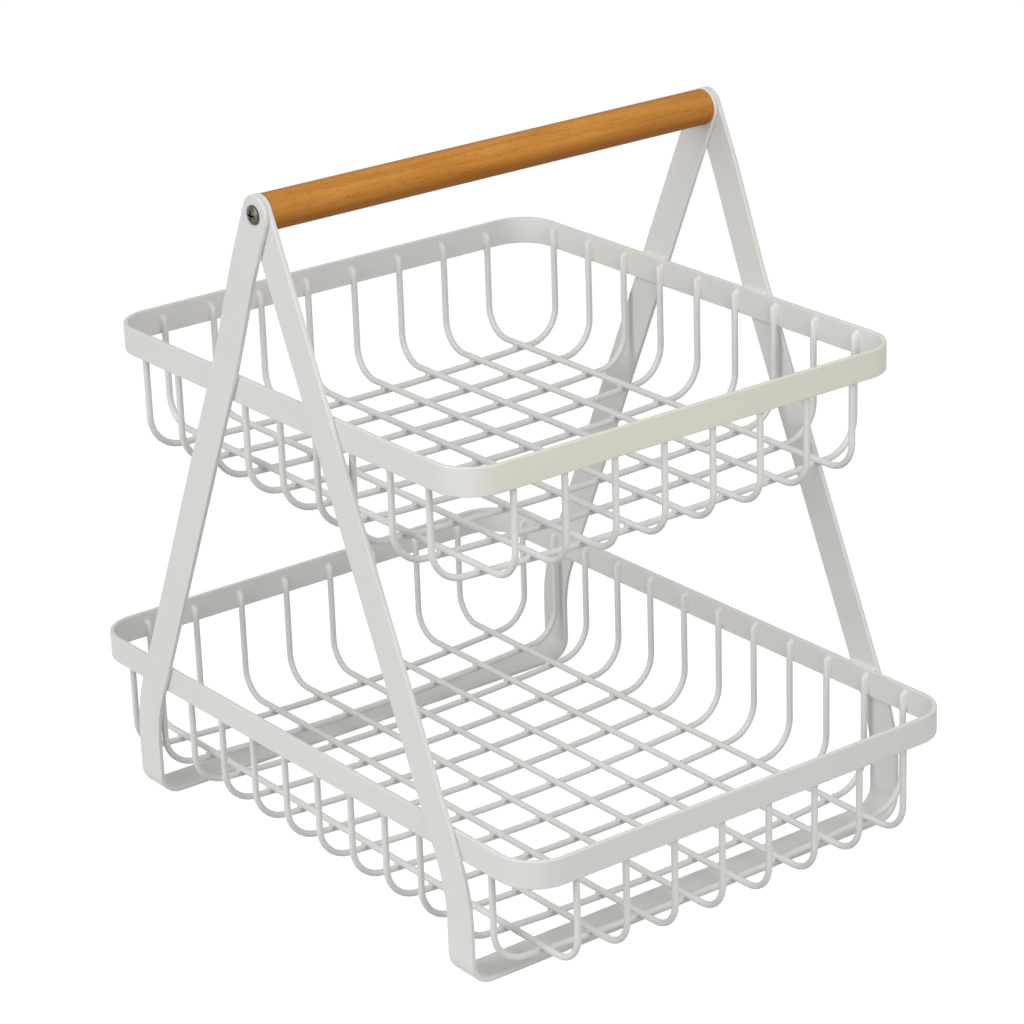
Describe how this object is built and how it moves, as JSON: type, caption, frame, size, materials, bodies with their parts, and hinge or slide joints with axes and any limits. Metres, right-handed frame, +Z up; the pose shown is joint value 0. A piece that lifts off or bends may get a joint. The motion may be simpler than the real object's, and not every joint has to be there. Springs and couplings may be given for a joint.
{
  "type": "tiered wire basket",
  "caption": "Two open wire baskets, one above the other, on an A-shaped stand of flat strip with a round wooden carrying handle.",
  "frame": {"origin": "on the floor, below the middle of the handle", "axes": "+X along the handle, +Y from the front to the back along the baskets' length, +Z up"},
  "size_m": [0.2374, 0.315, 0.3001],
  "materials": {
    "coated_steel": "off-white powder coat, fine texture, low gloss",
    "handle_wood": "oiled light brown hardwood, satin",
    "screw_steel": "bright zinc plate"
  },
  "bodies": {
    "basket_stand": {"back_frame": "coated_steel", "front_frame": "coated_steel", "upper_rim": "coated_steel", "lower_rim": "coated_steel", "upper_rim_welds": "coated_steel", "lower_rim_welds": "coated_steel", "upper_lengthwise_wire_1": "coated_steel", "upper_lengthwise_wire_2": "coated_steel", "upper_lengthwise_wire_3": "coated_steel", "upper_lengthwise_wire_4": "coated_steel", "upper_lengthwise_wire_5": "coated_steel", "upper_lengthwise_wire_6": "coated_steel", "upper_lengthwise_wire_7": "coated_steel", "upper_lengthwise_wire_8": "coated_steel", "upper_crosswise_wire_1": "coated_steel", "upper_crosswise_wire_2": "coated_steel", "upper_crosswise_wire_3": "coated_steel", "upper_crosswise_wire_4": "coated_steel", "upper_crosswise_wire_5": "coated_steel", "upper_crosswise_wire_6": "coated_steel", "upper_crosswise_wire_7": "coated_steel", "upper_crosswise_wire_8": "coated_steel", "upper_crosswise_wire_9": "coated_steel", "lower_lengthwise_wire_1": "coated_steel", "lower_lengthwise_wire_2": "coated_steel", "lower_lengthwise_wire_3": "coated_steel", "lower_lengthwise_wire_4": "coated_steel", "lower_lengthwise_wire_5": "coated_steel", "lower_lengthwise_wire_6": "coated_steel", "lower_lengthwise_wire_7": "coated_steel", "lower_lengthwise_wire_8": "coated_steel", "lower_crosswise_wire_1": "coated_steel", "lower_crosswise_wire_2": "coated_steel", "lower_crosswise_wire_3": "coated_steel", "lower_crosswise_wire_4": "coated_steel", "lower_crosswise_wire_5": "coated_steel", "lower_crosswise_wire_6": "coated_steel", "lower_crosswise_wire_7": "coated_steel", "lower_crosswise_wire_8": "coated_steel", "lower_crosswise_wire_9": "coated_steel", "lower_crosswise_wire_10": "coated_steel", "lower_crosswise_wire_11": "coated_steel", "lower_crosswise_wire_12": "coated_steel"},
    "turning_handle": {"handle": "handle_wood", "left_screw": "screw_steel", "right_screw": "screw_steel"}
  },
  "joints": [
    {"name": "handle_spin", "type": "hinge", "parent": "basket_stand", "child": "turning_handle", "pos_m": [0, 0, 0.2921], "axis": [1, 0, 0], "continuous": true}
  ]
}
